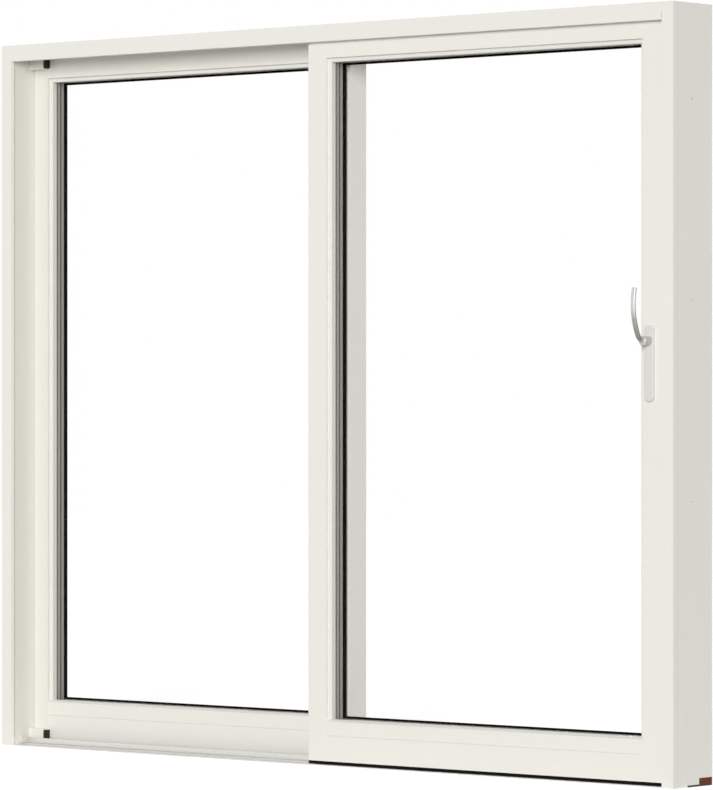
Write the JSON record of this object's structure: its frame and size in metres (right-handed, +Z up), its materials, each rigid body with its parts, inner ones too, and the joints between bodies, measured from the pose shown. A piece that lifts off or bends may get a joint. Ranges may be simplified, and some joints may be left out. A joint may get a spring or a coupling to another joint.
{
  "type": "sliding patio door",
  "caption": "White timber patio door: a glazed sash slides in front of a fixed glazed sash in a deep box frame, with a low threshold and a lever handle.",
  "frame": {"origin": "middle of the threshold's underside, on the floor", "axes": "+X to the right seen from the room, +Y outwards through the wall, +Z up; metres"},
  "size_m": [2.48, 0.2351, 2.08],
  "materials": {
    "white_paint": "satin white paint on timber",
    "aluminium": "anodised",
    "black_plastic": "matt",
    "black_rubber": "matt",
    "hardwood": "oiled",
    "glass": "clear",
    "spacer_grey": "matt grey",
    "satin_nickel": "satin",
    "roller_steel": "zinc plated"
  },
  "bodies": {
    "frame": {"left_jamb": "white_paint", "right_jamb": "white_paint", "left_jamb_lip": "white_paint", "right_jamb_lip": "white_paint", "closing_stop": "white_paint", "head": "white_paint", "head_lip": "white_paint", "head_guide": "aluminium", "threshold_track": "aluminium", "threshold_core": "black_plastic", "outer_sill": "hardwood", "upper_stop_block": "white_paint", "upper_stop_pad": "black_rubber", "lower_stop_block": "white_paint", "lower_stop_pad": "black_rubber", "doorway_head_stop": "white_paint", "fixed_left_stile": "white_paint", "fixed_meeting_stile": "white_paint", "fixed_top_rail": "white_paint", "fixed_bottom_rail": "white_paint", "fixed_bottom_board": "white_paint", "fixed_left_bead": "white_paint", "fixed_right_bead": "white_paint", "fixed_top_bead": "white_paint", "fixed_glass": "glass", "fixed_spacers": "spacer_grey", "fixed_outer_gasket": "black_rubber"},
    "sliding_sash": {"sliding_meeting_stile": "white_paint", "sliding_lock_stile": "white_paint", "sliding_top_rail": "white_paint", "sliding_bottom_rail": "white_paint", "sliding_bottom_board": "white_paint", "sliding_left_bead": "white_paint", "sliding_right_bead": "white_paint", "sliding_top_bead": "white_paint", "sliding_glass": "glass", "sliding_spacers": "spacer_grey", "sliding_outer_gasket": "black_rubber", "sliding_bottom_seal": "black_rubber", "sliding_meeting_seal": "black_rubber", "left_roller_carriage": "roller_steel", "right_roller_carriage": "roller_steel", "handle_plate": "satin_nickel"},
    "handle": {"lever_handle": "satin_nickel"}
  },
  "joints": [
    {"name": "sash_slide", "type": "slide", "parent": "frame", "child": "sliding_sash", "axis": [-1, 0, 0], "range_m": [0, 1.08]},
    {"name": "handle_turn", "type": "hinge", "parent": "sliding_sash", "child": "handle", "pos_m": [1.151, -0.077, 1.183], "axis": [0, -1, 0], "range_deg": [0, 180]}
  ]
}
